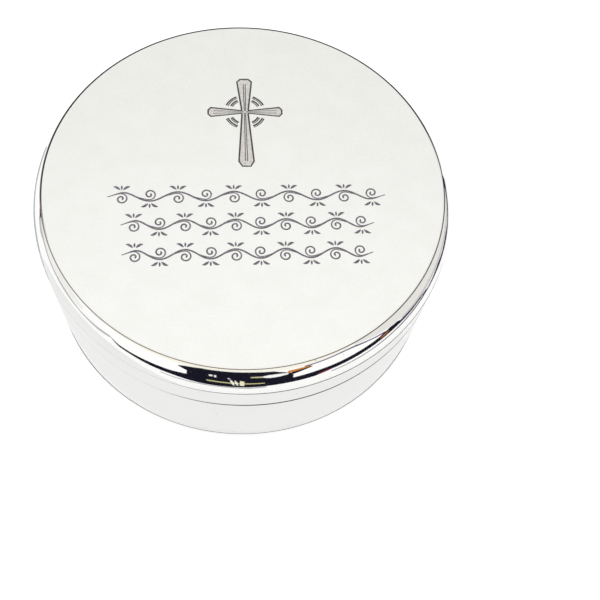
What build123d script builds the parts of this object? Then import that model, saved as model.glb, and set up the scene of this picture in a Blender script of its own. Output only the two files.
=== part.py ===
"""Round plated keepsake box with a hinged lid and a velvet lining.

Millimetres. The origin is the centre of the face the box stands on, +Z is up
and the front of the box faces -Y, so the hinge lies at +Y.
"""

import math
import os

from build123d import *

# Outline
box_diameter = 90.0
box_height = 35.0
lid_height = 13.9
skirt_height = 6.85
foot_inset = 1.2
top_edge_inset = 2.3
top_edge_land = 0.2
plateau_rise = 0.1
crease_step = 0.05

# Metal walls and edges
lid_wall = 0.8
lid_top = 1.0
lid_inner_round = 0.5
floor_thickness = 1.2
foot_rim = 2.0
foot_round = 0.5
seam_gap = 0.15
seam_chamfer = 0.1

# Collar that locates the lid
collar_wall = 0.6
collar_depth = 6.0
collar_rise = 2.8
collar_clearance = 0.4
collar_lead = 0.35

# Lining, cards and felt
felt_thickness = 1.0
felt_stand = 0.2
felt_clearance = 0.1
card_thickness = 1.0
pad_thickness = 2.0
pad_round = 0.7
pad_clearance = 0.3
wall_lining_thickness = 1.2
wall_lining_round = 0.4
wall_lining_drop = 1.0
lid_card_thickness = 0.8
lid_card_clearance = 0.4
lid_pad_thickness = 2.2

# Hinge
hinge_width = 20.0
knuckle_count = 5
knuckle_radius = 1.4
knuckle_gap = 0.25
barrel_clearance = 0.3
leaf_thickness = 0.8
leaf_corner = 1.2
body_leaf_height = 5.6
lid_leaf_margin = 0.9
pin_radius = 0.6
pin_overhang = 0.35
pin_round = 0.18
fixed_fit = 0.02
running_fit = 0.05

# Heights of the outer form: the felt stands proud of the foot rim
foot_height = felt_stand
lid_bottom = box_height - lid_height
seam_height = lid_bottom - seam_gap
crease_height = lid_bottom + skirt_height
shoulder_height = box_height - plateau_rise

# The box is widest at the crease
outer_radius = box_diameter / 2
foot_radius = outer_radius - foot_inset


def wall_radius(height):
    """Outer radius of the plain wall, which widens evenly from the foot to the crease."""
    rise = (height - foot_height) / (crease_height - foot_height)
    return foot_radius + foot_inset * rise


seam_radius = wall_radius(seam_height)
skirt_radius = wall_radius(lid_bottom)

# Shoulder: one arc, upright at the crease, that meets the flat top at a crisp edge
top_edge_radius = outer_radius - top_edge_inset
plateau_radius = top_edge_radius - top_edge_land
shoulder_foot = outer_radius - crease_step
shoulder_run = shoulder_foot - top_edge_radius
shoulder_drop = shoulder_height - crease_height
shoulder_radius = (shoulder_run**2 + shoulder_drop**2) / (2 * shoulder_run)
shoulder_centre = shoulder_foot - shoulder_radius

# Inside of the lid: an arc about the same centre, up to the ceiling
lid_ceiling = box_height - lid_top
inner_shoulder_radius = outer_radius - lid_wall - shoulder_centre
ceiling_drop = lid_ceiling - crease_height
ceiling_radius = shoulder_centre + math.sqrt(inner_shoulder_radius**2 - ceiling_drop**2)

# Floor and underside
floor_top = felt_thickness + floor_thickness
recess_radius = foot_radius - foot_rim
felt_radius = recess_radius - felt_clearance

# The collar shares its bore with the body wall below it
collar_outer = skirt_radius - lid_wall - collar_clearance
collar_inner = collar_outer - collar_wall
collar_ledge = seam_height - collar_depth
collar_top = seam_height + collar_rise

# Lining
wall_lining_inner = collar_inner - wall_lining_thickness
wall_lining_height = collar_top - wall_lining_drop - floor_top
floor_pad_radius = wall_lining_inner - pad_clearance
lid_card_radius = ceiling_radius - lid_card_clearance

# Hinge axis, parallel to X, level with the seam and just behind the wall
hinge_y = seam_radius + barrel_clearance + knuckle_radius
hinge_z = seam_height
knuckle_pitch = hinge_width / knuckle_count
body_knuckles = range(0, knuckle_count, 2)
lid_knuckles = range(1, knuckle_count, 2)
sweep_radius = knuckle_radius + barrel_clearance
web_reach = hinge_y - math.sqrt(seam_radius**2 - (hinge_width / 2) ** 2) + leaf_thickness
body_leaf_bottom = seam_height - body_leaf_height
lid_leaf_height = skirt_height - lid_leaf_margin


def wall_section(bottom, top, proud):
    """Half section of all within the wall between two heights, or proud of it."""
    with BuildSketch(Plane.XZ) as section:
        with BuildLine():
            Polyline(
                (0, bottom),
                (wall_radius(bottom) + proud, bottom),
                (wall_radius(top) + proud, top),
                (0, top),
                close=True,
            )
        make_face()
    return section.sketch


def barrel_section(index, margin, radius):
    """Circle on the hinge axis, a margin inside the start of one knuckle's place."""
    start = -hinge_width / 2 + index * knuckle_pitch + margin
    with BuildSketch(Plane.YZ.offset(start)) as section:
        with Locations((hinge_y, hinge_z)):
            Circle(radius)
    return section.sketch


def knuckle_section(index, web_bottom, web_top):
    """Knuckle's circle with the web that runs from it to the wall."""
    start = -hinge_width / 2 + index * knuckle_pitch + knuckle_gap / 2
    with BuildSketch(Plane.YZ.offset(start)) as section:
        with Locations((hinge_y, hinge_z)):
            Circle(knuckle_radius)
        with Locations((hinge_y - web_reach, web_bottom)):
            Rectangle(web_reach, web_top - web_bottom, align=(Align.MIN, Align.MIN))
    return section.sketch


def leaf_outline(middle, height):
    """Rounded rectangle that trims a leaf, seen from behind the box."""
    with BuildSketch(Plane.XZ.offset(-hinge_y)) as outline:
        with Locations((0, middle)):
            RectangleRounded(hinge_width, 2 * height, leaf_corner)
    return outline.sketch


os.makedirs("parts", exist_ok=True)

# Body shell: a drafted cup with a seat for the collar and a recess for the felt
with BuildPart() as body_shell:
    with BuildSketch(Plane.XZ) as body_section:
        with BuildLine():
            Polyline(
                (0, felt_thickness),
                (recess_radius, felt_thickness),
                (recess_radius, foot_height),
                (foot_radius, foot_height),
                (seam_radius, seam_height),
                (collar_outer, seam_height),
                (collar_outer, collar_ledge),
                (collar_inner, collar_ledge),
                (collar_inner, floor_top),
                (0, floor_top),
                close=True,
            )
        make_face()
        foot_edge = body_section.vertices().sort_by_distance((foot_radius, foot_height))[0]
        fillet(foot_edge, radius=foot_round)
        seam_edge = body_section.vertices().sort_by_distance((seam_radius, seam_height))[0]
        chamfer(seam_edge, length=seam_chamfer)
    revolve(axis=Axis.Z)
body_shell.part.label = "body_shell"
export_step(body_shell.part, "parts/body_shell.step")

# Collar: the inner ring, pressed onto its seat, that the lid closes over
with BuildPart() as body_collar:
    with BuildSketch(Plane.XZ) as collar_section:
        with BuildLine():
            Polyline(
                (collar_inner, collar_ledge),
                (collar_outer, collar_ledge),
                (collar_outer, collar_top),
                (collar_inner, collar_top),
                close=True,
            )
        make_face()
        lead_edge = collar_section.vertices().sort_by_distance((collar_outer, collar_top))[0]
        chamfer(lead_edge, length=collar_lead)
    revolve(axis=Axis.Z)
body_collar.part.label = "body_collar"
export_step(body_collar.part, "parts/body_collar.step")

# Felt that the box stands on
with BuildPart() as base_felt:
    with BuildSketch(Plane.XY):
        Circle(felt_radius)
    extrude(amount=felt_thickness)
base_felt.part.label = "base_felt"
export_step(base_felt.part, "parts/base_felt.step")

# Card on the floor, and the velvet pad on it
with BuildPart() as floor_card:
    with BuildSketch(Plane.XY.offset(floor_top)):
        Circle(floor_pad_radius)
    extrude(amount=card_thickness)
floor_card.part.label = "floor_card"
export_step(floor_card.part, "parts/floor_card.step")

with BuildPart() as floor_pad:
    with BuildSketch(Plane.XY.offset(floor_top + card_thickness)):
        Circle(floor_pad_radius)
    extrude(amount=pad_thickness)
    fillet(floor_pad.edges().group_by(Axis.Z)[-1], radius=pad_round)
floor_pad.part.label = "floor_pad"
export_step(floor_pad.part, "parts/floor_pad.step")

# Velvet band round the wall, over the joint between shell and collar
with BuildPart() as wall_lining:
    with BuildSketch(Plane.XY.offset(floor_top)):
        Circle(collar_inner)
        Circle(wall_lining_inner, mode=Mode.SUBTRACT)
    extrude(amount=wall_lining_height)
    fillet(wall_lining.edges().group_by(Axis.Z)[-1], radius=wall_lining_round)
wall_lining.part.label = "wall_lining"
export_step(wall_lining.part, "parts/wall_lining.step")

# Lid shell: a plain skirt, a turned crease, a curved shoulder and a raised flat top
with BuildPart() as lid_shell:
    with BuildSketch(Plane.XZ) as lid_section:
        with BuildLine():
            Polyline(
                (shoulder_foot, crease_height),
                (outer_radius, crease_height),
                (skirt_radius, lid_bottom),
                (skirt_radius - lid_wall, lid_bottom),
                (outer_radius - lid_wall, crease_height),
            )
            TangentArc(
                (outer_radius - lid_wall, crease_height),
                (ceiling_radius, lid_ceiling),
                tangent=(0, 1),
            )
            Polyline(
                (ceiling_radius, lid_ceiling),
                (0, lid_ceiling),
                (0, box_height),
                (plateau_radius - plateau_rise, box_height),
                (plateau_radius, shoulder_height),
                (top_edge_radius, shoulder_height),
            )
            TangentArc(
                (shoulder_foot, crease_height),
                (top_edge_radius, shoulder_height),
                tangent=(0, 1),
            )
        make_face()
        inner_corner = lid_section.vertices().sort_by_distance((ceiling_radius, lid_ceiling))[0]
        fillet(inner_corner, radius=lid_inner_round)
        skirt_edge = lid_section.vertices().sort_by_distance((skirt_radius, lid_bottom))[0]
        chamfer(skirt_edge, length=seam_chamfer)
    revolve(axis=Axis.Z)
lid_shell.part.label = "lid_shell"
export_step(lid_shell.part, "parts/lid_shell.step")

# Card under the lid, and the velvet pad on it
with BuildPart() as lid_card:
    with BuildSketch(Plane.XY.offset(lid_ceiling)):
        Circle(lid_card_radius)
    extrude(amount=-lid_card_thickness)
lid_card.part.label = "lid_card"
export_step(lid_card.part, "parts/lid_card.step")

with BuildPart() as lid_pad:
    with BuildSketch(Plane.XY.offset(lid_ceiling - lid_card_thickness)):
        Circle(lid_card_radius)
    extrude(amount=-lid_pad_thickness)
    fillet(lid_pad.edges().group_by(Axis.Z)[0], radius=pad_round)
lid_pad.part.label = "lid_pad"
export_step(lid_pad.part, "parts/lid_pad.step")

# Body leaf: follows the wall and carries the knuckles at the ends and in the middle
with BuildPart() as body_hinge_leaf:
    revolve(wall_section(body_leaf_bottom, seam_height, leaf_thickness), axis=Axis.Z)
    extrude(leaf_outline(seam_height, body_leaf_height), amount=hinge_y, mode=Mode.INTERSECT)
    for index in lid_knuckles:
        clearance = barrel_section(index, -knuckle_gap / 2, sweep_radius)
        extrude(clearance, amount=knuckle_pitch + knuckle_gap, mode=Mode.SUBTRACT)
    for index in body_knuckles:
        knuckle = knuckle_section(index, hinge_z - knuckle_radius, seam_height)
        extrude(knuckle, amount=knuckle_pitch - knuckle_gap)
        bore = barrel_section(index, 0, pin_radius + fixed_fit)
        extrude(bore, amount=knuckle_pitch, mode=Mode.SUBTRACT)
    revolve(wall_section(foot_height, seam_height, 0), axis=Axis.Z, mode=Mode.SUBTRACT)
body_hinge_leaf.part.label = "body_hinge_leaf"
export_step(body_hinge_leaf.part, "parts/body_hinge_leaf.step")

# Lid leaf: follows the skirt and carries the knuckles between those of the body
with BuildPart() as lid_hinge_leaf:
    revolve(wall_section(lid_bottom, lid_bottom + lid_leaf_height, leaf_thickness), axis=Axis.Z)
    extrude(leaf_outline(lid_bottom, lid_leaf_height), amount=hinge_y, mode=Mode.INTERSECT)
    for index in body_knuckles:
        clearance = barrel_section(index, -knuckle_gap / 2, sweep_radius)
        extrude(clearance, amount=knuckle_pitch + knuckle_gap, mode=Mode.SUBTRACT)
    for index in lid_knuckles:
        knuckle = knuckle_section(index, lid_bottom, hinge_z + knuckle_radius)
        extrude(knuckle, amount=knuckle_pitch - knuckle_gap)
        bore = barrel_section(index, 0, pin_radius + running_fit)
        extrude(bore, amount=knuckle_pitch, mode=Mode.SUBTRACT)
    revolve(wall_section(lid_bottom, crease_height, 0), axis=Axis.Z, mode=Mode.SUBTRACT)
lid_hinge_leaf.part.label = "lid_hinge_leaf"
export_step(lid_hinge_leaf.part, "parts/lid_hinge_leaf.step")

# Hinge pin, with its ends rounded over beyond the outer knuckles
with BuildPart() as hinge_pin:
    with BuildSketch(Plane.YZ.offset(-hinge_width / 2 - pin_overhang)):
        with Locations((hinge_y, hinge_z)):
            Circle(pin_radius)
    extrude(amount=hinge_width + 2 * pin_overhang)
    fillet(hinge_pin.edges().filter_by(GeomType.CIRCLE), radius=pin_round)
hinge_pin.part.label = "hinge_pin"
export_step(hinge_pin.part, "parts/hinge_pin.step")
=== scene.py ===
import math

import bmesh
import bpy
from mathutils import Matrix, Vector


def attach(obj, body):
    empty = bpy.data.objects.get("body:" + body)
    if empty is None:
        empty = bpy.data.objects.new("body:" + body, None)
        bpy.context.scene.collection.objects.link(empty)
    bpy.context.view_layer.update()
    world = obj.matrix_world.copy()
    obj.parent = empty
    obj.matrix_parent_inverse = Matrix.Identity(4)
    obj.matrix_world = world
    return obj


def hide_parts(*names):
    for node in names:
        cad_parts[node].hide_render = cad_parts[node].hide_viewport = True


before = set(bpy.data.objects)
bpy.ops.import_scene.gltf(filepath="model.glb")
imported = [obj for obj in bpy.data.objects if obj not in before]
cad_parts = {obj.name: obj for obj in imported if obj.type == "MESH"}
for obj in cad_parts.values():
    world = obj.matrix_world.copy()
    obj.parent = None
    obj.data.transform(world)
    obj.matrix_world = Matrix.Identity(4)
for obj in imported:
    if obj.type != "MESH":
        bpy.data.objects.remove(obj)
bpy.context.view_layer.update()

mm = 0.001


def rgba(red, green, blue):
    return (red, green, blue, 1.0)


def newMaterial(name, colour, metallic=0.0, roughness=0.5, **extra):
    material = bpy.data.materials.new(name)
    material.use_nodes = True
    shader = material.node_tree.nodes["Principled BSDF"]
    shader.inputs["Base Color"].default_value = rgba(*colour)
    shader.inputs["Metallic"].default_value = metallic
    shader.inputs["Roughness"].default_value = roughness
    for socket, value in extra.items():
        shader.inputs[socket].default_value = value
    return material


def addNode(material, kind, **settings):
    node = material.node_tree.nodes.new(kind)
    for key, value in settings.items():
        setattr(node, key, value)
    return node


def join(material, fromSocket, toSocket):
    material.node_tree.links.new(fromSocket, toSocket)


# noise that reads the piece's own place, so one grain runs through every piece
def addNoise(material, grain, detail, stretch=(1, 1, 1)):
    place = addNode(material, "ShaderNodeTexCoord")
    stretched = addNode(material, "ShaderNodeMapping")
    stretched.inputs["Scale"].default_value = stretch
    noise = addNode(material, "ShaderNodeTexNoise")
    noise.inputs["Scale"].default_value = 1 / (grain * mm)
    noise.inputs["Detail"].default_value = detail
    join(material, place.outputs["Object"], stretched.inputs["Vector"])
    join(material, stretched.outputs["Vector"], noise.inputs["Vector"])
    return noise.outputs["Fac"]


# takes one band of values to another
def spread(material, source, fromBand, toBand=(0, 1)):
    node = addNode(material, "ShaderNodeMapRange")
    for socket, value in zip(("From Min", "From Max", "To Min", "To Max"), (*fromBand, *toBand)):
        node.inputs[socket].default_value = value
    join(material, source, node.inputs["Value"])
    return node.outputs["Result"]


# the first colour may also be a socket
def blendColours(material, factor, first, second):
    node = addNode(material, "ShaderNodeMix", data_type="RGBA")
    if isinstance(first, tuple):
        node.inputs["A"].default_value = rgba(*first)
    else:
        join(material, first, node.inputs["A"])
    node.inputs["B"].default_value = rgba(*second)
    join(material, factor, node.inputs["Factor"])
    return node.outputs["Result"]


def addBump(material, height, strength, distance, under=None):
    node = addNode(material, "ShaderNodeBump")
    node.inputs["Strength"].default_value = strength
    node.inputs["Distance"].default_value = distance * mm
    join(material, height, node.inputs["Height"])
    if under:
        join(material, under, node.inputs["Normal"])
    return node.outputs["Normal"]


def feed(material, **sockets):
    shader = material.node_tree.nodes["Principled BSDF"]
    for name, source in sockets.items():
        join(material, source, shader.inputs[name])


# mesh from a bmesh drawn in millimetres
def finishMesh(name, bm, materials, sharpAngle=30):
    bmesh.ops.transform(bm, matrix=Matrix.Scale(mm, 4), verts=bm.verts)
    for face in bm.faces:
        face.smooth = True
    for edge in bm.edges:
        edge.smooth = edge.calc_face_angle(0) < math.radians(sharpAngle)
    mesh = bpy.data.meshes.new(name)
    bm.to_mesh(mesh)
    bm.free()
    piece = bpy.data.objects.new(name, mesh)
    for material in materials:
        mesh.materials.append(material)
    bpy.context.scene.collection.objects.link(piece)
    return piece


# a piece's mesh with its modifiers worked in
def shownMesh(piece):
    bpy.context.view_layer.update()
    return bpy.data.meshes.new_from_object(piece.evaluated_get(bpy.context.evaluated_depsgraph_get()))


# flat faces stay flat beside small fillets
def weighNormals(piece):
    modifier = piece.modifiers.new("weighNormals", "WEIGHTED_NORMAL")
    modifier.keep_sharp = True
    modifier.weight = 80
    return piece


# an arc in the section, from the last corner to the next one
def arcTo(centre, angle, segments):
    return {"centre": centre, "angle": angle, "segments": segments}


# section in millimetres: (radius, height), (radius, height, corner reach, corner segments) or an arcTo
def turnSection(section, steps=288, closed=False):
    bm = bmesh.new()
    verts = []
    for corner in section:
        if isinstance(corner, dict):
            across, up = corner["centre"]
            swept = bmesh.ops.spin(bm, geom=[verts[-1]], cent=(across, 0, up), axis=(0, 1, 0),
                                   angle=math.radians(corner["angle"]), steps=corner["segments"],
                                   use_duplicate=False)
            verts.append(next(item for item in swept["geom_last"] if isinstance(item, bmesh.types.BMVert)))
            continue
        vert = bm.verts.new((corner[0], 0, corner[1]))
        if verts:
            bm.edges.new((verts[-1], vert))
        verts.append(vert)
    if closed:
        bm.edges.new((verts[-1], verts[0]))
    for vert, corner in zip(verts, section):
        if isinstance(corner, tuple) and len(corner) > 2:
            bmesh.ops.bevel(bm, geom=[vert], offset=corner[2], offset_type="OFFSET", segments=corner[3],
                            profile=0.5, affect="VERTICES", material=-1)
    bmesh.ops.spin(bm, geom=bm.verts[:] + bm.edges[:], cent=(0, 0, 0), axis=(0, 0, 1),
                   angle=math.tau, steps=steps, use_merge=True, use_duplicate=False)
    bmesh.ops.remove_doubles(bm, verts=bm.verts, dist=1e-4)
    bmesh.ops.recalc_face_normals(bm, faces=bm.faces)
    poles = [vert for vert in bm.verts if math.hypot(vert.co.x, vert.co.y) < 1e-3]
    bmesh.ops.dissolve_verts(bm, verts=poles)
    return bm


# finishes: colours, and grains in millimetres

mirrorLook = {
    "colour": (0.945, 0.945, 0.935), "roughness": 0.05, "roughBand": (0.03, 0.085),
    "cloudDull": (0.925, 0.927, 0.912), "cloudBright": (0.955, 0.957, 0.945), "cloud": 14.0,
    "speckColour": (0.62, 0.62, 0.61), "speck": 0.9, "speckBand": (0.73, 0.80), "speckShare": 0.6,
    "fine": 0.5, "fineRelief": (0.015, 0.02),     # relief: strength, height
    "wave": 9.0, "waveRelief": (0.04, 0.05),
}


def makePolishedSilver(look):
    silver = newMaterial("polishedSilver", look["colour"], metallic=1.0, roughness=look["roughness"])
    cloud = addNoise(silver, look["cloud"], detail=3.0)
    fine = addNoise(silver, look["fine"], detail=4.0)
    wave = addNoise(silver, look["wave"], detail=0.0)
    speck = addNoise(silver, look["speck"], detail=1.0)
    specks = spread(silver, speck, look["speckBand"], (0, look["speckShare"]))
    plain = blendColours(silver, spread(silver, cloud, (0.3, 0.7)), look["cloudDull"], look["cloudBright"])
    wavy = addBump(silver, wave, *look["waveRelief"])
    feed(silver, **{
        "Base Color": blendColours(silver, specks, plain, look["speckColour"]),
        "Roughness": spread(silver, fine, (0.35, 0.75), look["roughBand"]),
        "Normal": addBump(silver, fine, *look["fineRelief"], under=wavy),
    })
    return silver


satinLook = {
    "colour": (0.95, 0.95, 0.94), "roughness": 0.3, "roughBand": (0.26, 0.34),
    "dull": (0.950, 0.950, 0.918), "bright": (0.972, 0.972, 0.942), "mottle": 5.0,
    "grain": 0.28, "relief": (0.05, 0.03),
}


def makeSatinSilver(look):
    silver = newMaterial("satinSilver", look["colour"], metallic=1.0, roughness=look["roughness"])
    grain = addNoise(silver, look["grain"], detail=3.0)
    mottle = spread(silver, addNoise(silver, look["mottle"], detail=3.0), (0.35, 0.65))
    feed(silver, **{
        "Base Color": blendColours(silver, mottle, look["dull"], look["bright"]),
        "Roughness": spread(silver, grain, (0.3, 0.7), look["roughBand"]),
        "Normal": addBump(silver, grain, *look["relief"]),
    })
    return silver


# a metal with a grain in its tone and its relief
def makeDarkMetal(name, light, dark, roughness):
    metal = newMaterial(name, light, metallic=0.7, roughness=roughness)
    grain = addNoise(metal, 0.4, detail=3.0)
    feed(metal, **{
        "Base Color": blendColours(metal, spread(metal, grain, (0.35, 0.65)), dark, light),
        "Normal": addBump(metal, grain, 0.3, 0.05),
    })
    return metal


# a thin line of painted shade and painted reflection, dark on one side of the box and pale on the other
# it darkens towards that side, in degrees from the back to the right, between the two ends in millimetres
def makePaintedShadeLine(name, litColour, shadeColour, towards, ends, metallic=0.8, roughness=0.4):
    metal = newMaterial(name, shadeColour, metallic=metallic, roughness=roughness)
    place = addNode(metal, "ShaderNodeTexCoord")
    along = addNode(metal, "ShaderNodeVectorMath", operation="DOT_PRODUCT")
    along.inputs[1].default_value = (math.sin(math.radians(towards)), math.cos(math.radians(towards)), 0)
    join(metal, place.outputs["Object"], along.inputs[0])
    grain = addNoise(metal, 0.4, detail=3.0)
    change = spread(metal, along.outputs["Value"], (ends[0] * mm, ends[1] * mm))
    feed(metal, **{
        "Base Color": blendColours(metal, change, litColour, shadeColour),
        "Normal": addBump(metal, grain, 0.2, 0.03),
    })
    return metal


velvetLook = {
    "colour": (0.018, 0.017, 0.018), "roughness": 0.9, "sheen": 0.6, "sheenRoughness": 0.35, "specular": 0.15,
    "pile": 0.22, "pileRelief": (0.7, 0.12),
    "brushed": 7.0, "brushedStretch": (1, 0.6, 1), "brushedRelief": (0.35, 0.5),
    "dark": (0.010, 0.010, 0.011), "light": (0.032, 0.030, 0.033),
}


def makeVelvet(look):
    velvet = newMaterial("blackVelvet", look["colour"], roughness=look["roughness"], **{
        "Sheen Weight": look["sheen"], "Sheen Roughness": look["sheenRoughness"],
        "Specular IOR Level": look["specular"]})
    pile = addNoise(velvet, look["pile"], detail=4.0)
    brushed = addNoise(velvet, look["brushed"], detail=3.0, stretch=look["brushedStretch"])
    nap = addBump(velvet, brushed, *look["brushedRelief"])
    tone = spread(velvet, brushed, (0.35, 0.68))
    feed(velvet, **{
        "Base Color": blendColours(velvet, tone, look["dark"], look["light"]),
        "Normal": addBump(velvet, pile, *look["pileRelief"], under=nap),
    })
    return velvet


feltLook = {
    "colour": (0.03, 0.03, 0.03), "roughness": 0.95, "sheen": 0.25, "specular": 0.2,
    "fibre": 0.45, "stretch": (1, 2.2, 1), "relief": (0.9, 0.2),
    "dark": (0.018, 0.018, 0.02), "light": (0.055, 0.053, 0.052),
}


def makeFelt(look):
    felt = newMaterial("blackFelt", look["colour"], roughness=look["roughness"], **{
        "Sheen Weight": look["sheen"], "Specular IOR Level": look["specular"]})
    fibre = addNoise(felt, look["fibre"], detail=6.0, stretch=look["stretch"])
    feed(felt, **{
        "Base Color": blendColours(felt, spread(felt, fibre, (0.3, 0.7)), look["dark"], look["light"]),
        "Normal": addBump(felt, fibre, *look["relief"]),
    })
    return felt


cardLook = {
    "colour": (0.42, 0.38, 0.33), "roughness": 0.85, "fibre": 0.7, "relief": (0.3, 0.05),
    "dark": (0.34, 0.31, 0.27), "light": (0.48, 0.44, 0.38),
}


def makeCard(look):
    card = newMaterial("greyCard", look["colour"], roughness=look["roughness"])
    fibre = addNoise(card, look["fibre"], detail=5.0)
    feed(card, **{
        "Base Color": blendColours(card, spread(card, fibre, (0.3, 0.7)), look["dark"], look["light"]),
        "Normal": addBump(card, fibre, *look["relief"]),
    })
    return card


steelLook = {
    "colour": (0.62, 0.62, 0.63), "roughness": 0.25, "roughBand": (0.16, 0.34),
    "drawn": 0.15, "stretch": (0.03, 1, 1),
}


def makePinSteel(look):
    steel = newMaterial("pinSteel", look["colour"], metallic=1.0, roughness=look["roughness"])
    drawn = addNoise(steel, look["drawn"], detail=2.0, stretch=look["stretch"])
    feed(steel, Roughness=spread(steel, drawn, (0.3, 0.7), look["roughBand"]))
    return steel


polishedSilver = makePolishedSilver(mirrorLook)
satinSilver = makeSatinSilver(satinLook)
# painted reflection and shade: both rim rings are dark towards the back, where the edge mirrors the dark
# room, and paler towards the front
rimShadeLine = makePaintedShadeLine("rimShadeLine", (0.20, 0.155, 0.155), (0.02, 0.017, 0.02), 40, (-27, -16))
rimShadeFade = makePaintedShadeLine("rimShadeFade", (0.93, 0.93, 0.90), (0.03, 0.025, 0.03), -12, (-6, 6),
                         metallic=1.0, roughness=0.3)
# painted shade and reflection: the two lines round the wall are dark towards the right and fade to silver
# towards the left
turnedShadeLine = makePaintedShadeLine("turnedShadeLine", (0.84, 0.84, 0.83), (0.07, 0.065, 0.08), 90, (-20, 2))
cutLine = makeDarkMetal("cutLine", (0.12, 0.115, 0.12), (0.045, 0.045, 0.05), 0.5)
scrollLine = makeDarkMetal("scrollLine", (0.27, 0.25, 0.29), (0.13, 0.12, 0.145), 0.5)
mattedField = makeDarkMetal("mattedField", (0.78, 0.755, 0.725), (0.62, 0.60, 0.575), 0.55)
blackVelvet = makeVelvet(velvetLook)
blackFelt = makeFelt(feltLook)
greyCard = makeCard(cardLook)
pinSteel = makePinSteel(steelLook)
print("finishes ready")


# engraving on the lid, in millimetres, drawn at the height of the flat top

crossPlan = {
    "x": 0.48, "y": 18.61,
    "top": 27.57, "foot": 4.33, "reach": 8.07,                             # ends of the four arms
    "upEnd": 1.60, "upWaist": 0.73, "downWaist": 0.67, "sideEnd": 1.18, "sideWaist": 0.37,    # half widths
    "waistRise": 0.70, "waistDrop": 0.65, "armOverlap": 0.05,              # where the arms meet
    "cornerAlong": 0.74, "cornerFlat": 0.88, "footAlong": 1.27, "sideAlong": 0.58, "sideFlat": 0.54,
    "ringRadii": (4.30, 3.32), "ringSpare": (0, 3), "ringAngles": (24, 66), "ringSteps": 5,
    "outline": 0.40, "ring": 0.70, "ringCore": 0.30, "vein": 0.17, "sideCore": 0.20,    # widths of the cuts
    "veinGap": 0.24, "veinStart": 0.30, "veinStop": 1.30,
    "sideVeinGap": 0.30, "sideVeinStartGap": 0.15, "sideVeinStart": 0.25, "sideVeinStop": 1.10,
    "sideCoreStart": 0.20, "sideCoreStop": 1.20,
    "fieldDepth": 0.03, "fieldToolHeight": 0.3,
}

bandPlan = {
    "rows": ((-3.14, -28.7, 29.7), (-9.97, -25.8, 26.75), (-17.04, -25.4, 25.95)),   # height, left and right
    "units": 10, "stemSteps": 6,                                # crests in a row, points between two crests
    "stem": 0.38, "curl": 0.36, "curlTip": 0.52, "leaf": 0.66,  # widths
    "swing": 1.15, "fadeIn": 0.6, "endSwing": 0.35, "endStem": 0.45,
    "curlStart": ((-0.46, 0.02), (-0.34, 0.30), (-0.20, 0.56)),             # share of a unit, height
    "curlSteps": 12, "curlFrom": 88, "curlTurn": 500, "curlRadius": 1.26, "curlClosing": 0.8,
    "curlHeart": 0.14, "curlDrop": 0.52, "curlThin": 0.16, "curlFill": 2.2,
    "leafFoot": 0.5, "leafOut": 0.32, "leafReach": 1.45, "leafRise": 0.85, "leafBend": 1.9, "leafTip": 0.10,
    "uprightLeaf": (0.10, 0.45, 0.80, 1.15), "uprightShare": 0.9,
}

# in the order they are cut: how deep under the flat they start, depth as a share of half the width, finish
cutPlan = {
    "veinCuts": (crossPlan["fieldDepth"], 0.7, "cutLine"),
    "outlineCuts": (0, 0.5, "cutLine"),
    "ringCuts": (0, 0.5, "cutLine"),
    "stemCuts": (0, 0.5, "scrollLine"),
    "curlCuts": (0, 0.5, "scrollLine"),
    "leafCuts": (0, 0.5, "scrollLine"),
    "ringCores": (0, 1.35, "mattedField"),
    "sideCores": (0, 1.35, "satinSilver"),
}

# the lid's finishes in the order of its material slots
lidFinishes = [polishedSilver, satinSilver, rimShadeFade, cutLine, mattedField, turnedShadeLine, rimShadeLine, scrollLine]
lidSlots = {finish.name: slot for slot, finish in enumerate(lidFinishes)}


def crossOutline(plan):
    x, y = plan["x"], plan["y"]
    reach, corner = plan["reach"], plan["reach"] - plan["sideAlong"]
    sideIn = plan["downWaist"] + plan["armOverlap"]
    up = [(plan["upWaist"], y + plan["waistRise"]), (plan["upEnd"], plan["top"] - plan["cornerAlong"]),
          (plan["cornerFlat"], plan["top"])]
    down = [(plan["cornerFlat"], plan["foot"]), (plan["upEnd"], plan["foot"] + plan["footAlong"]),
            (plan["downWaist"], y - plan["waistDrop"])]
    side = [(sideIn, y - plan["sideWaist"]), (corner, y - plan["sideEnd"]), (reach, y - plan["sideFlat"]),
            (reach, y + plan["sideFlat"]), (corner, y + plan["sideEnd"]), (sideIn, y + plan["sideWaist"])]
    right = down + side + up
    left = [(-dx, py) for dx, py in reversed(right)]
    return [(x + dx, py) for dx, py in right + left]


def startCuts(name):
    cuts = bpy.data.curves.new(name, "CURVE")
    cuts.dimensions = "3D"
    cuts.bevel_depth = 1.0
    cuts.bevel_resolution = 2
    cuts.use_fill_caps = True
    return cuts


# one cut: points with a width each, as a round tool leaves it
def addCut(cuts, points, closed=False, smooth=True):
    spline = cuts.splines.new("NURBS" if smooth else "POLY")
    spline.points.add(len(points) - 1)
    for point, (x, y, width) in zip(spline.points, points):
        point.co = (x, y, 0, 1)
        point.radius = width / 2
    spline.use_cyclic_u = closed
    if smooth:
        spline.order_u = 4
        spline.use_endpoint_u = True
        spline.resolution_u = 3


def addStroke(cuts, start, end, width):
    addCut(cuts, [(*start, width), (*end, width)], smooth=False)


# widths that swell soon after the start and close at the tip
def taperAlong(points, wide, narrow):
    last = len(points) - 1
    swell = [math.sin(math.pi * (step / last) ** 0.75) for step in range(last + 1)]
    return [(x, y, narrow + (wide - narrow) * share) for (x, y), share in zip(points, swell)]


def addRinglets(cuts, plan, width):
    low, high = plan["ringAngles"]
    steps = plan["ringSteps"]
    for radius, spare in zip(plan["ringRadii"], plan["ringSpare"]):
        span = high - low - 2 * spare
        for quarter in range(4):
            start = 90 * quarter + low + spare
            turns = [math.radians(start + span * step / steps) for step in range(steps + 1)]
            addCut(cuts, [(plan["x"] + radius * math.cos(turn), plan["y"] + radius * math.sin(turn), width)
                          for turn in turns])


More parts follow.
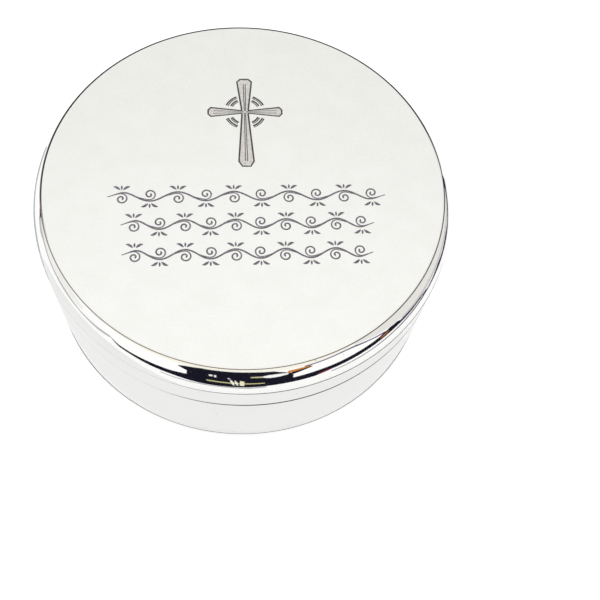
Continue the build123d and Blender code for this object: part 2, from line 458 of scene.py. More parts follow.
def addVeins(cuts, plan):
    x, y, gap, width = plan["x"], plan["y"], plan["veinGap"], plan["vein"]
    sideEnd = plan["reach"] - plan["sideVeinStop"]
    for side in (-1, 1):
        near, far = x + side * gap / 2, x + side * gap
        addStroke(cuts, (near, y + plan["veinStart"]), (far, plan["top"] - plan["veinStop"]), width)
        addStroke(cuts, (near, y - plan["veinStart"]), (far, plan["foot"] + plan["veinStop"]), width)
        for way in (-1, 1):
            addStroke(cuts, (x + way * plan["sideVeinStart"], y + side * plan["sideVeinStartGap"]),
                      (x + way * sideEnd, y + side * plan["sideVeinGap"]), width)


# bright line between the veins of the side arms
def addSideCores(cuts, plan):
    x, y = plan["x"], plan["y"]
    sideEnd = plan["reach"] - plan["sideCoreStop"]
    for way in (-1, 1):
        addStroke(cuts, (x + way * plan["sideCoreStart"], y), (x + way * sideEnd, y), plan["sideCore"])


# the waving stem, which thins and calms at its ends
def addStem(cuts, plan, middle, left, right):
    pitch = (right - left) / plan["units"]
    points = []
    for step in range(plan["units"] * plan["stemSteps"] + 1):
        x = left + pitch * step / plan["stemSteps"]
        full = min(1, min(x - left, right - x) / (plan["fadeIn"] * pitch))
        swing = plan["swing"] * math.sin(math.pi * (x - left) / pitch)
        swing *= plan["endSwing"] + (1 - plan["endSwing"]) * full
        points.append((x, middle + swing, plan["stem"] * (plan["endStem"] + (1 - plan["endStem"]) * full)))
    addCut(cuts, points)


# the curl leaves the stem low on its slope and winds in under the crest
def addCurl(cuts, plan, middle, x, up, way, pitch):
    points = [(share * pitch, height) for share, height in plan["curlStart"]]
    for step in range(plan["curlSteps"] + 1):
        done = step / plan["curlSteps"]
        angle = math.radians(plan["curlFrom"] - plan["curlTurn"] * done)
        radius = plan["curlRadius"] * (1 - done) ** plan["curlClosing"] + plan["curlHeart"]
        points.append((radius * math.cos(angle), radius * math.sin(angle) - plan["curlDrop"]))
    last = len(points) - 1
    thin, full = plan["curlThin"], plan["curl"]
    widths = [thin + (full - thin) * min(1, plan["curlFill"] * step / last) for step in range(last)]
    widths.append(plan["curlTip"])
    addCut(cuts, [(x + way * dx, middle + up * dy, width) for (dx, dy), width in zip(points, widths)])


# two leaning leaves and an upright one, outside the crest
def addLeaves(cuts, plan, middle, x, up):
    foot = plan["swing"] + plan["leafFoot"]
    for lean in (-1, 1):
        leaf = []
        for share in (0, 0.25, 0.5, 0.75, 1):
            out = plan["leafOut"] + plan["leafReach"] * share
            rise = foot + plan["leafRise"] * math.sin(plan["leafBend"] * share)
            leaf.append((x + lean * out, middle + up * rise))
        addCut(cuts, taperAlong(leaf, plan["leaf"], plan["leafTip"]))
    upright = [(x, middle + up * (foot + rise)) for rise in plan["uprightLeaf"]]
    addCut(cuts, taperAlong(upright, plan["leaf"] * plan["uprightShare"], plan["leafTip"]))


# running scroll: a waving stem with a curl in each hollow and three leaves on each crest
def addBand(curves, plan, middle, left, right):
    pitch = (right - left) / plan["units"]
    addStem(curves["stemCuts"], plan, middle, left, right)
    for unit in range(plan["units"]):
        up = 1 if unit % 2 == 0 else -1
        x = left + pitch * (unit + 0.5)
        way = 1 if x < (left + right) / 2 else -1
        addCurl(curves["curlCuts"], plan, middle, x, up, way, pitch)
        addLeaves(curves["leafCuts"], plan, middle, x, up)


def cutterFrom(curve, height, depthShare, slot):
    holder = bpy.data.objects.new(curve.name, curve)
    bpy.context.scene.collection.objects.link(holder)
    mesh = shownMesh(holder)
    bpy.data.objects.remove(holder)
    bm = bmesh.new()
    bm.from_mesh(mesh)
    bmesh.ops.remove_doubles(bm, verts=bm.verts, dist=1e-5)
    flattened = Matrix.Translation((0, 0, height)) @ Matrix.Diagonal((1, 1, depthShare, 1))
    bmesh.ops.transform(bm, matrix=flattened, verts=bm.verts)
    bmesh.ops.recalc_face_normals(bm, faces=bm.faces)
    for face in bm.faces:
        face.material_index = slot
    return bm


def fieldCutter(plan, height, slot):
    bm = bmesh.new()
    face = bm.faces.new([bm.verts.new((x, y, height - plan["fieldDepth"])) for x, y in crossOutline(plan)])
    grown = bmesh.ops.extrude_face_region(bm, geom=[face])
    raised = [item for item in grown["geom"] if isinstance(item, bmesh.types.BMVert)]
    bmesh.ops.translate(bm, vec=(0, 0, plan["fieldToolHeight"]), verts=raised)
    bmesh.ops.recalc_face_normals(bm, faces=bm.faces)
    for face in bm.faces:
        face.material_index = slot
    return bm


def carve(piece, cutter):
    modifier = piece.modifiers.new("carve", "BOOLEAN")
    modifier.operation = "DIFFERENCE"
    modifier.solver = "EXACT"
    modifier.object = cutter
    carved = shownMesh(piece)
    piece.modifiers.clear()
    piece.data = carved
    bpy.data.objects.remove(cutter)


lidShape = {
    "top": 35.0, "bottom": 21.1, "wall": 0.8, "plate": 1.0,
    "radius": 45.0, "crease": 27.95, "creaseStep": 0.05,      # widest place
    "skirtRadius": 44.704, "chamfer": 0.1,
    "edgeRadius": 42.7, "plateau": 42.5, "rise": 0.1,         # crisp edge of the flat top
    "shoulderSegments": 48, "ceilingSegments": 12,
    "rimShade": 0.12, "rimShadeLine": 0.19, "lineHeight": 0.14,
    "slack": 0.004,                                           # when a height counts as the same
}


def makeLid(shape):
    edgeHeight = shape["top"] - shape["rise"]
    foot = shape["radius"] - shape["creaseStep"]
    run, drop = foot - shape["edgeRadius"], edgeHeight - shape["crease"]
    bend = (run ** 2 + drop ** 2) / (2 * run)
    centre = (foot - bend, shape["crease"])
    inside = shape["radius"] - shape["wall"] - centre[0]
    ceiling = shape["top"] - shape["plate"]
    shoulderTurn = math.degrees(math.asin(drop / bend))
    ceilingTurn = math.degrees(math.asin((ceiling - shape["crease"]) / inside))
    skirtLean = (shape["radius"] - shape["skirtRadius"]) / (shape["crease"] - shape["bottom"])
    lineStep = shape["lineHeight"] * skirtLean
    lineFoot = shape["bottom"] + shape["chamfer"]
    flatEnd = shape["plateau"] - shape["rise"]
    section = [
        (0, shape["top"]),
        (flatEnd - shape["rimShade"], shape["top"]),
        (flatEnd, shape["top"]),
        (shape["plateau"], edgeHeight),
        (shape["edgeRadius"] - shape["rimShadeLine"], edgeHeight),
        (shape["edgeRadius"], edgeHeight),
        arcTo(centre, shoulderTurn, shape["shoulderSegments"]),
        (shape["radius"], shape["crease"]),
        (shape["radius"] - lineStep, shape["crease"] - shape["lineHeight"]),
        (shape["skirtRadius"] + lineStep, lineFoot + shape["lineHeight"]),
        (shape["skirtRadius"], lineFoot),
        (shape["skirtRadius"] - shape["chamfer"], shape["bottom"]),
        (shape["skirtRadius"] - shape["wall"], shape["bottom"]),
        (shape["radius"] - shape["wall"], shape["crease"]),
        arcTo(centre, -ceilingTurn, shape["ceilingSegments"]),
        (0, ceiling),
    ]
    bm = turnSection(section)
    for face in bm.faces:
        finish = lidFinishAt(face.calc_center_median(), shape, edgeHeight, flatEnd, lineFoot)
        face.material_index = lidSlots[finish]
    return bm


# satin flat, painted shade and reflection along its edge and along the two lines round the wall, and mirror
# everywhere else
def lidFinishAt(middle, shape, edgeHeight, flatEnd, lineFoot):
    outward = math.hypot(middle.x, middle.y)
    if middle.z > shape["top"] - shape["slack"]:
        return "satinSilver" if outward < flatEnd - shape["rimShade"] else "rimShadeFade"
    if middle.z > edgeHeight - shape["slack"] and outward > flatEnd:
        return "rimShadeLine" if outward > shape["edgeRadius"] - shape["rimShadeLine"] else "rimShadeFade"
    creaseSide = shape["radius"] - shape["wall"] / 2
    skirtSide = shape["skirtRadius"] - shape["wall"] / 2
    aboveCrease = middle.z - shape["crease"]
    if outward > creaseSide and -shape["lineHeight"] < aboveCrease < shape["slack"]:
        return "turnedShadeLine"
    if outward > skirtSide and middle.z < lineFoot + shape["lineHeight"]:
        return "turnedShadeLine"
    return "polishedSilver"


lidShell = finishMesh("lidShell", makeLid(lidShape), lidFinishes)

cutCurves = {name: startCuts(name) for name in cutPlan}
outline = [(x, y, crossPlan["outline"]) for x, y in crossOutline(crossPlan)]
addCut(cutCurves["outlineCuts"], outline, closed=True, smooth=False)
addRinglets(cutCurves["ringCuts"], crossPlan, crossPlan["ring"])
addRinglets(cutCurves["ringCores"], crossPlan, crossPlan["ringCore"])
addSideCores(cutCurves["sideCores"], crossPlan)
addVeins(cutCurves["veinCuts"], crossPlan)
for middle, left, right in bandPlan["rows"]:
    addBand(cutCurves, bandPlan, middle, left, right)
fieldTool = fieldCutter(crossPlan, lidShape["top"], lidSlots["mattedField"])
carve(lidShell, finishMesh("fieldTool", fieldTool, lidFinishes))
for name, (under, depthShare, finish) in cutPlan.items():
    cutter = cutterFrom(cutCurves[name], lidShape["top"] - under, depthShare, lidSlots[finish])
    carve(lidShell, finishMesh(name + "Tool", cutter, lidFinishes))
weighNormals(lidShell)
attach(lidShell, "lid")
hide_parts("lid_shell")
print("lid shell and engraving:", len(lidShell.data.polygons), "faces")


bodyShape = {
    "footRadius": 43.8, "foot": 0.2, "footRound": 0.5, "footSegments": 8,
    "seamRadius": 44.697, "seam": 20.95, "chamfer": 0.1, "lineHeight": 0.12,
    "recess": 41.8, "recessTop": 1.0, "floorTop": 2.2, "boreRadius": 42.904,
    "seatRadius": 43.504, "seat": 14.95, "collarTop": 23.75, "collarLead": 0.35,
    "lipRound": 0.08, "lipSegments": 3,
}


def makeBody(shape):
    lineTop = shape["seam"] - shape["chamfer"]
    lineBottom = lineTop - shape["lineHeight"]
    bm = turnSection([
        (0, shape["recessTop"]),
        (shape["recess"], shape["recessTop"]),
        (shape["recess"], shape["foot"]),
        (shape["footRadius"], shape["foot"], shape["footRound"], shape["footSegments"]),
        (shape["seamRadius"], lineBottom),
        (shape["seamRadius"], lineTop),
        (shape["seamRadius"] - shape["chamfer"], shape["seam"]),
        (shape["seatRadius"], shape["seam"]),
        (shape["seatRadius"], shape["seat"]),
        (shape["boreRadius"], shape["seat"]),
        (shape["boreRadius"], shape["floorTop"]),
        (0, shape["floorTop"]),
    ])
    # the band under the seam, its chamfer and the top face take the turned shade line: painted shade and
    # reflection
    for face in bm.faces:
        face.material_index = 1 if face.calc_center_median().z > lineBottom else 0
    return bm


def makeCollar(shape):
    return turnSection([
        (shape["boreRadius"], shape["seat"]),
        (shape["seatRadius"], shape["seat"]),
        (shape["seatRadius"], shape["collarTop"] - shape["collarLead"]),
        (shape["seatRadius"] - shape["collarLead"], shape["collarTop"]),
        (shape["boreRadius"], shape["collarTop"], shape["lipRound"], shape["lipSegments"]),
    ], closed=True)


bodyShell = weighNormals(finishMesh("bodyShell", makeBody(bodyShape), [polishedSilver, turnedShadeLine]))
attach(bodyShell, "base")
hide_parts("body_shell")

bodyCollar = weighNormals(finishMesh("bodyCollar", makeCollar(bodyShape), [polishedSilver]))
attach(bodyCollar, "base")
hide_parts("body_collar")
print("body and collar ready")


# hinge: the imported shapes, welded, with their sharp edges broken

hingeFinish = {
    "weld": 0.001, "breakEdge": 0.07, "segments": 2,
    "flatWithin": 0.5, "smoothUpTo": 25, "breakFrom": 50,     # degrees
}


def makeHingePiece(name, node, body, finish, settings):
    bm = bmesh.new()
    bm.from_mesh(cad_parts[node].data)
    bmesh.ops.transform(bm, matrix=Matrix.Scale(1 / mm, 4), verts=bm.verts)
    bmesh.ops.remove_doubles(bm, verts=bm.verts, dist=settings["weld"])
    flatWithin = math.radians(settings["flatWithin"])
    bmesh.ops.dissolve_limit(bm, angle_limit=flatWithin, verts=bm.verts, edges=bm.edges)
    piece = finishMesh(name, bm, [finish], sharpAngle=settings["smoothUpTo"])
    bevel = piece.modifiers.new("breakEdges", "BEVEL")
    bevel.width = settings["breakEdge"] * mm
    bevel.segments = settings["segments"]
    bevel.limit_method = "ANGLE"
    bevel.angle_limit = math.radians(settings["breakFrom"])
    weighNormals(piece)
    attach(piece, body)
    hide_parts(node)
    return piece


makeHingePiece("bodyHingeLeaf", "body_hinge_leaf", "base", polishedSilver, hingeFinish)
makeHingePiece("lidHingeLeaf", "lid_hinge_leaf", "lid", polishedSilver, hingeFinish)
makeHingePiece("hingePin", "hinge_pin", "base", pinSteel, hingeFinish)
print("hinge ready")


# pads: glued along the back, blown up from the face

floorPadShape = {"radius": 41.35, "back": 3.2, "face": 5.2}
lidPadShape = {"radius": 41.95, "back": 33.2, "face": 31.0}
padCloth = {
    "segments": 128, "edge": 0.6, "edgeSegments": 4,
    "voxel": 1.0, "rimReach": 0.5, "glueReach": 0.35,      # reaches are shares of a voxel
    "frames": 20, "pressure": 4.0, "quality": 4, "scaleUp": 10.0,
    "mostRise": 0.7, "sideways": 0.25,                     # what is kept of the simulated moves
}


def makePadBlock(radius, low, high, cloth):
    bm = bmesh.new()
    bmesh.ops.create_cone(bm, cap_ends=True, segments=cloth["segments"], radius1=radius, radius2=radius,
                          depth=high - low, matrix=Matrix.Translation((0, 0, (low + high) / 2)))
    rims = [edge for edge in bm.edges if abs(edge.verts[0].co.z - edge.verts[1].co.z) < 1e-6]
    bmesh.ops.bevel(bm, geom=rims, offset=cloth["edge"], segments=cloth["edgeSegments"], profile=0.5,
                    affect="EDGES", material=-1)
    return bm


# even squares for the cloth, with the rim pushed out to a round line
def remeshPad(piece, radius, cloth):
    remesh = piece.modifiers.new("voxels", "REMESH")
    remesh.mode = "VOXEL"
    remesh.voxel_size = cloth["voxel"] * mm
    mesh = shownMesh(piece)
    piece.modifiers.clear()
    for vert in mesh.vertices:
        outward = math.hypot(vert.co.x, vert.co.y)
        if outward > (radius - cloth["rimReach"] * cloth["voxel"]) * mm:
            vert.co.xy *= radius * mm / outward
    piece.data = mesh


# the pad is blown up at a larger size, where cloth behaves, and then brought back
def puff(piece, back, cloth):
    grown = mm * cloth["scaleUp"]
    mesh = piece.data
    mesh.transform(Matrix.Scale(cloth["scaleUp"], 4))
    start = [vert.co.copy() for vert in mesh.vertices]
    glueReach = cloth["glueReach"] * cloth["voxel"] * grown
    held = [vert.index for vert in mesh.vertices if abs(vert.co.z - back * grown) < glueReach]
    glued = piece.vertex_groups.new(name="glued")
    glued.add(held, 1.0, "REPLACE")
    swell = piece.modifiers.new("puff", "CLOTH")
    swell.settings.use_pressure = True
    swell.settings.uniform_pressure_force = cloth["pressure"]
    swell.settings.vertex_group_mass = glued.name
    swell.settings.effector_weights.gravity = 0.0
    swell.settings.quality = cloth["quality"]
    for frameNumber in range(1, cloth["frames"] + 1):
        bpy.context.scene.frame_set(frameNumber)
    swollen = bpy.data.meshes.new_from_object(piece.evaluated_get(bpy.context.evaluated_depsgraph_get()))
    piece.modifiers.clear()
    bpy.context.scene.frame_set(1)
    moves = [vert.co - was for vert, was in zip(swollen.vertices, start)]
    share = min(1, cloth["mostRise"] * grown / max(move.length for move in moves))
    for vert, was, move in zip(swollen.vertices, start, moves):
        vert.co = was + Vector((move.x * cloth["sideways"], move.y * cloth["sideways"], move.z)) * share
    swollen.transform(Matrix.Scale(1 / cloth["scaleUp"], 4))
    piece.data = swollen
    piece.vertex_groups.clear()
    print("puffed", piece.name, "- keeps", round(share, 2), "of its simulated rise")


def makePad(name, node, body, shape, cloth):
    room = cloth["mostRise"] if shape["back"] > shape["face"] else -cloth["mostRise"]   # left for the rise
    low, high = sorted((shape["back"], shape["face"] + room))
    piece = finishMesh(name, makePadBlock(shape["radius"], low, high, cloth), [blackVelvet], sharpAngle=80)
    remeshPad(piece, shape["radius"], cloth)
    puff(piece, shape["back"], cloth)
    if not piece.data.materials:
        piece.data.materials.append(blackVelvet)
    for polygon in piece.data.polygons:
        polygon.use_smooth = True
    subdivide = piece.modifiers.new("soften", "SUBSURF")
    subdivide.levels = subdivide.render_levels = 1
    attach(piece, body)
    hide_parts(node)
    return piece


makePad("floorPad", "floor_pad", "base", floorPadShape, padCloth)
makePad("lidPad", "lid_pad", "lid", lidPadShape, padCloth)
print("pads ready")


liningShape = {
    "outer": 42.9, "inner": 41.7, "low": 2.2, "high": 22.75,
    "backRound": 0.35, "backSegments": 3, "faceRound": 0.55, "faceSegments": 5,
    "topLean": 0.05, "swell": 0.12, "hollow": 0.05,      # the face swells near its ends and less between them
    "swellUnderTop": 4.0, "swellOverFoot": 3.0, "steps": 192,
}


def makeWallLining(shape):
    return turnSection([
        (shape["inner"], shape["low"]),
        (shape["outer"], shape["low"]),
        (shape["outer"], shape["high"], shape["backRound"], shape["backSegments"]),
        (shape["inner"] + shape["topLean"], shape["high"], shape["faceRound"], shape["faceSegments"]),
        (shape["inner"] - shape["swell"], shape["high"] - shape["swellUnderTop"]),
        (shape["inner"] - shape["hollow"], (shape["low"] + shape["high"]) / 2),
        (shape["inner"] - shape["swell"], shape["low"] + shape["swellOverFoot"]),
    ], steps=shape["steps"], closed=True)


wallLining = finishMesh("wallLining", makeWallLining(liningShape), [blackVelvet], sharpAngle=60)
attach(wallLining, "base")
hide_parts("wall_lining")


feltShape = {"radius": 41.7, "low": 0.0, "high": 1.0, "edge": 0.18, "edgeSegments": 4, "steps": 192}


def makeFeltDisc(shape):
    return turnSection([
        (0, shape["low"]),
        (shape["radius"], shape["low"], shape["edge"], shape["edgeSegments"]),
        (shape["radius"], shape["high"]),
        (0, shape["high"]),
    ], steps=shape["steps"])


baseFelt = finishMesh("baseFelt", makeFeltDisc(feltShape), [blackFelt])
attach(baseFelt, "base")
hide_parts("base_felt")

# the two cards keep the CAD mesh and get their material on the object's own slot
for nodeName in ("floor_card", "lid_card"):
    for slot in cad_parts[nodeName].material_slots:
        slot.link = "OBJECT"
        slot.material = greyCard
print("lining, felt and cards ready")


studio = {
    "floorGrey": 0.80, "floorToCamera": 0.46, "floorToMetal": 0.315, "floorRadius": 3000,
    "skyForDiffuse": 0.85,
    "lampPlace": (0.02, 0.22, 0.80), "lampAim": (0, 0, 0.02), "lampSize": 0.5,     # metres
    "lampPower": 0.6,
    "cardDistance": 1200, "cardHeight": 33,
}


def makeGlow(name, colour):
    glow = bpy.data.materials.new(name)
    glow.use_nodes = True
    nodes = glow.node_tree.nodes
    nodes.clear()
    emit = nodes.new("ShaderNodeEmission")
    emit.inputs["Color"].default_value = rgba(*colour)
    out = nodes.new("ShaderNodeOutputMaterial")
    join(glow, emit.outputs["Emission"], out.inputs["Surface"])
    return glow


# only metal sees the cards, flags and mats
def addGlowing(name, bm, colour):
    card = finishMesh(name, bm, [makeGlow(name, colour)])
    card.visible_camera = False
    card.visible_diffuse = False
    card.visible_shadow = False
    return card


# the value a share of the way between each pair
def between(first, second, share):
    return [a + (b - a) * share for a, b in zip(first, second)]


# a far card, given by the directions it covers at its left and right ends: (turn, low rise, high rise)
def addCard(name, colour, leftEnd, rightEnd, settings):
    centre = Vector((0, 0, settings["cardHeight"]))
    bm = bmesh.new()
    bmesh.ops.create_grid(bm, x_segments=16, y_segments=12, size=0.5)
    for vert in bm.verts:
        turn, low, high = (math.radians(value) for value in between(leftEnd, rightEnd, vert.co.x + 0.5))
        rise = low + (high - low) * (vert.co.y + 0.5)
        way = Vector((math.sin(turn) * math.cos(rise), -math.cos(turn) * math.cos(rise), math.sin(rise)))
        vert.co = way * settings["cardDistance"] + centre
    return addGlowing(name, bm, colour)


# a strip round the box, given by its stations: (turn, near edge, far edge)
def addStrip(name, colour, stations, steps, placeAt):
    bm = bmesh.new()
    last = len(stations) - 1
    bmesh.ops.create_grid(bm, x_segments=steps * last, y_segments=1, size=0.5)
    for vert in bm.verts:
        along = (vert.co.x + 0.5) * last
        first = min(int(along + 1e-6), last - 1)
        turn, near, far = between(stations[first], stations[first + 1], along - first)
        vert.co = placeAt(math.radians(turn), near if vert.co.y < 0 else far)
    return addGlowing(name, bm, colour)


# a flag stands round the box: the edges of its stations are heights
def addFlag(name, colour, radius, stations):
    addStrip(name, colour, stations, 4, lambda turn, height: Vector((
        radius * math.sin(turn), -radius * math.cos(turn), height)))


# a mat lies round the box: the edges of its stations are radii
def addMat(name, colour, height, stations):
    addStrip(name, colour, stations, 16, lambda turn, radius: Vector((
        radius * math.sin(turn), -radius * math.cos(turn), height)))


# pale floor: it takes the shadow, and is lifted to white for the camera and a little for metal
def makeFloor(settings):
    bm = bmesh.new()
    bmesh.ops.create_circle(bm, cap_ends=True, segments=96, radius=settings["floorRadius"])
    stuff = bpy.data.materials.new("paleFloor")
    stuff.use_nodes = True
    stuff.node_tree.nodes.clear()
    seen = addNode(stuff, "ShaderNodeLightPath")
    matt = addNode(stuff, "ShaderNodeBsdfDiffuse")
    matt.inputs["Color"].default_value = rgba(*[settings["floorGrey"]] * 3)
    metalShare = addNode(stuff, "ShaderNodeMath", operation="MULTIPLY")
    metalShare.inputs[1].default_value = settings["floorToMetal"]
    cameraShare = addNode(stuff, "ShaderNodeMath", operation="MULTIPLY_ADD")
    cameraShare.inputs[1].default_value = settings["floorToCamera"]
    lift = addNode(stuff, "ShaderNodeEmission")
    both = addNode(stuff, "ShaderNodeAddShader")
    out = addNode(stuff, "ShaderNodeOutputMaterial")
    join(stuff, seen.outputs["Is Glossy Ray"], metalShare.inputs[0])
    join(stuff, seen.outputs["Is Camera Ray"], cameraShare.inputs[0])
    join(stuff, metalShare.outputs[0], cameraShare.inputs[2])
    join(stuff, cameraShare.outputs[0], lift.inputs["Strength"])
    join(stuff, matt.outputs["BSDF"], both.inputs[0])
    join(stuff, lift.outputs["Emission"], both.inputs[1])
    join(stuff, both.outputs["Shader"], out.inputs["Surface"])
    finishMesh("paleFloor", bm, [stuff])


# white for the camera and for mirrored rays, a little less as light
def makeWorld(settings):
    world = bpy.data.worlds.new("studioAir")
    bpy.context.scene.world = world
    world.use_nodes = True
    world.node_tree.nodes.clear()
    seen = addNode(world, "ShaderNodeLightPath")
    seenOrMirrored = addNode(world, "ShaderNodeMath", operation="MAXIMUM")
    white = addNode(world, "ShaderNodeMath", operation="MAXIMUM")
    level = addNode(world, "ShaderNodeMapRange")
    level.inputs["To Min"].default_value = settings["skyForDiffuse"]
    level.inputs["To Max"].default_value = 1.0
    air = addNode(world, "ShaderNodeBackground")
    air.inputs["Color"].default_value = rgba(1, 1, 1)
    out = addNode(world, "ShaderNodeOutputWorld")
    join(world, seen.outputs["Is Camera Ray"], seenOrMirrored.inputs[0])
    join(world, seen.outputs["Is Glossy Ray"], seenOrMirrored.inputs[1])
    join(world, seenOrMirrored.outputs[0], white.inputs[0])
    join(world, seen.outputs["Is Transmission Ray"], white.inputs[1])
    join(world, white.outputs[0], level.inputs["Value"])
    join(world, level.outputs["Result"], air.inputs["Strength"])
    join(world, air.outputs["Background"], out.inputs["Surface"])


def makeLamp(settings):
    lamp = bpy.data.lights.new("softLamp", "AREA")
    lamp.shape = "DISK"
    lamp.size = settings["lampSize"]
    lamp.energy = settings["lampPower"]
    holder = bpy.data.objects.new("softLamp", lamp)
    holder.location = settings["lampPlace"]
    holder.rotation_mode = "QUATERNION"
    aim = Vector(settings["lampAim"]) - Vector(settings["lampPlace"])
    holder.rotation_quaternion = aim.to_track_quat("-Z", "Y")
    holder.visible_glossy = False
    bpy.context.scene.collection.objects.link(holder)


makeFloor(studio)
makeWorld(studio)
makeLamp(studio)

# far cards, the room as the satin top sees it: colour, left end, right end
farCards = {
    "ceilingTint": ((1.0, 0.96, 0.82), (-70, 84, 98), (70, 84, 98)),
    "sideWall": ((0.72, 0.70, 0.64), (64, -3, 55), (106, -3, 55)),
    "backWall": ((0.84, 0.84, 0.83), (118, 4, 55), (242, 4, 55)),
}

# near flags, what the polished shoulder mirrors: colour, radius, stations
nightBlue = (0.009, 0.009, 0.018)
nearFlags = {
    "paleBacking": ((1.08, 1.08, 1.07), 76, [(-50, 8, 33), (14, 8, 33), (56, 8, 33)]),
    "creamTop": ((1.0, 0.97, 0.87), 75, [(-62, 33, 48), (-20, 33, 48), (20, 32, 48), (52, 28, 48)]),
    "roomBlock": (nightBlue, 70, [
        (-19.6, 11, 32.5), (-15, 9.5, 34), (0, 8, 34), (8, 10, 33), (13, 10.5, 28.5), (14.3, 11, 25)]),
    "roomCorner": (nightBlue, 70, [(-22.5, 30, 31), (-19.6, 27, 32.5)]),
    "sillStrip": (nightBlue, 70, [
        (-47, 22.8, 23.4), (-43.5, 17, 20), (-39, 16, 19.5), (-32, 13.8, 19.8), (-25, 13, 20.2),
        (-19.6, 11, 22)]),
    "sillStripRight": (nightBlue, 70, [
        (14, 10.6, 19.5), (22, 10.6, 20.3), (28, 13.4, 20.3), (45, 13.8, 20.6), (50, 14, 22),
        (53.5, 13.5, 20.5), (55.5, 13.5, 17.5)]),
    "sillTail": ((0.04, 0.03, 0.08), 70, [(55, 13, 17.5), (61, 12, 16), (66, 11.8, 14.8), (71, 10, 12)]),
    "lowRailLeft": ((0.42, 0.42, 0.44), 70, [
        (-29, 8, 10), (-25, 6.3, 8.8), (-9, 6, 8.4), (0, 3.6, 6.6), (6, 6, 9)]),
    "lowRailRight": ((0.16, 0.15, 0.18), 70, [(28, 6.6, 8.6), (45, 6.4, 9), (57, 6, 9.6), (66, 5.8, 10)]),
    "rightShade": ((0.035, 0.03, 0.07), 70, [
        (66, 6, 9.8), (75, 6, 10.5), (80, 5, 12.5), (85, 4, 11), (90, 4, 12.5), (95, 5, 11.5), (99, 8, 14),
        (103, 11, 17), (108, 13, 30)]),
    "upperRail": ((0.09, 0.07, 0.20), 70, [
        (18, 31, 32.2), (32, 31, 32.5), (36, 29.5, 31.4), (40, 26.8, 28.4), (44, 23.6, 25.2),
        (48, 20.3, 22.4)]),
    "emberPatch": ((0.66, 0.25, 0.05), 69, [(12.4, 28.2, 31), (15, 28.6, 31.2), (20, 30, 31.2)]),
    "emberShade": ((0.03, 0.01, 0.015), 69, [(13.5, 25, 28.4), (20.5, 29, 30.2)]),
    "emberTip": ((0.60, 0.20, 0.05), 69, [(45.5, 17.6, 18.4), (47.5, 17.4, 19.4), (49.5, 18, 19.2)]),
    "emberGlint": ((0.20, 0.02, 0.05), 69, [(23, 12.5, 15.5), (27, 13.8, 16)]),
    "paleWindow": ((1.0, 1.0, 0.98), 69, [
        (4.6, 26.2, 28), (6.5, 25, 29), (9.5, 25.2, 29), (12.6, 26.6, 28.4)]),
    "paleWindowEdge": ((0.62, 0.58, 0.34), 69, [(0.6, 26.6, 28), (4.6, 26.2, 28)]),
    "oliveLine": ((0.60, 0.57, 0.27), 69, [
        (-13.2, 18, 20), (-8, 17.4, 19.2), (-2, 16.4, 18.2), (5.2, 16.4, 18)]),
    "strokeOne": ((0.92, 0.91, 0.82), 68.5, [(-5.7, 20.5, 24.5), (-4.5, 12.5, 19.5)]),
    "strokeTwo": ((0.92, 0.91, 0.82), 68.5, [(-4.3, 19, 23.5), (-3.3, 12.5, 19)]),
    "strokeThree": ((0.88, 0.84, 0.62), 68.5, [(-2.7, 14, 22.5), (-1.3, 12.8, 21.5)]),
    "spotOne": ((0.9, 0.9, 0.86), 68.5, [(-12.4, 26, 28.4), (-11.3, 26, 28)]),
    "spotTwo": ((0.9, 0.9, 0.86), 68.5, [(-10.8, 25.4, 28.4), (-10.1, 25.2, 28)]),
    "spotThree": ((0.85, 0.85, 0.8), 68.5, [(-6.5, 24.6, 26), (-5.9, 24.4, 25.8)]),
    "rightWall": ((0.83, 0.81, 0.78), 72, [
        (36, 32.5, 36), (40, 29.8, 36), (44, 26.2, 36), (49, 22.4, 36), (54, 20.5, 36), (57, 17, 34),
        (66, 17, 33), (79, 15, 31), (90, 15, 31), (99, 16, 28), (108, 18, 32)]),
    "rightWallLow": ((0.60, 0.58, 0.57), 71, [
        (56, 15, 19), (66, 14, 18.5), (79, 12, 17), (90, 12, 17), (99, 13, 18), (108, 15, 22)]),
    "leftRail": ((0.54, 0.53, 0.53), 70, [
        (-95, 19, 24), (-91, 17, 22.5), (-87, 19.5, 22.8), (-80, 18.8, 21.4), (-68, 18.5, 21.8),
        (-60, 18.5, 20.4), (-52, 18.5, 22), (-47, 21, 24)]),
    "leftShade": ((0.02, 0.02, 0.03), 70, [(-122, 16, 30), (-110, 22, 34), (-101, 24, 33), (-94, 21, 25)]),
    "leftWall": ((0.93, 0.92, 0.89), 73, [(-104, 22, 38), (-82, 21, 36), (-60, 22, 27)]),
}

# mats, what the wall and the left shoulder mirror: colour, height, stations
floorMats = {
    "leftMat": ((0.46, 0.49, 0.52), 0.4, [
        (-124, 58, 82), (-117, 58, 80), (-111, 56, 74), (-105, 56, 72), (-98, 55, 70), (-92, 54, 66),
        (-86, 53, 62), (-82, 52, 56)]),
    "wallMat": ((0.885, 0.89, 0.88), 0.4, [
        (-92, 46, 56), (-85, 44.6, 80), (-70, 44.6, 90), (-50, 44.6, 85), (-35, 44.6, 70), (-22, 44.6, 58),
        (-12, 44.6, 52.9), (24, 44.6, 52.9), (60, 44.6, 52.9)]),
    # painted shade: a dark ring that only metal sees, standing in for the contact shadow under the foot
    "footShadeMat": ((0.26, 0.26, 0.27), 0.1, [(turn, 43.7, 44.08) for turn in range(-120, 121, 30)]),
}

for name, (colour, leftEnd, rightEnd) in farCards.items():
    addCard(name, colour, leftEnd, rightEnd, studio)
for name, (colour, radius, stations) in nearFlags.items():
    addFlag(name, colour, radius, stations)
for name, (colour, height, stations) in floorMats.items():
    addMat(name, colour, height, stations)
print("studio ready")


# camera, at the photograph's angle

cameraPlan = {
    "place": (-5.803, -117.632, 215.046),   # millimetres
    "turn": -10.149, "rise": 63.127, "roll": 8.141,
    "focalPixels": 1008.445, "picturePixels": 600, "sensor": 36,
}


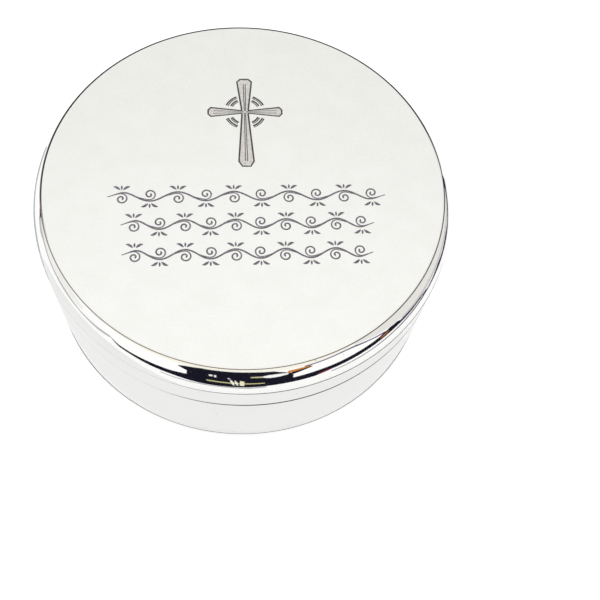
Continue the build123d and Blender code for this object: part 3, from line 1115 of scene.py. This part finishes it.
def makeCamera(plan):
    camera = bpy.data.cameras.new("shotCamera")
    camera.sensor_width = plan["sensor"]
    camera.lens = plan["focalPixels"] / plan["picturePixels"] * plan["sensor"]
    camera.clip_start = 0.01
    camera.clip_end = 20
    holder = bpy.data.objects.new("shotCamera", camera)
    bpy.context.scene.collection.objects.link(holder)
    holder.matrix_world = (Matrix.Translation(Vector(plan["place"]) * mm)
                           @ Matrix.Rotation(math.radians(plan["turn"]), 4, "Z")
                           @ Matrix.Rotation(math.radians(90 - plan["rise"]), 4, "X")
                           @ Matrix.Rotation(math.radians(plan["roll"]), 4, "Z"))
    bpy.context.scene.camera = holder


makeCamera(cameraPlan)
bpy.context.scene.view_settings.view_transform = "Standard"

bpy.context.view_layer.update()
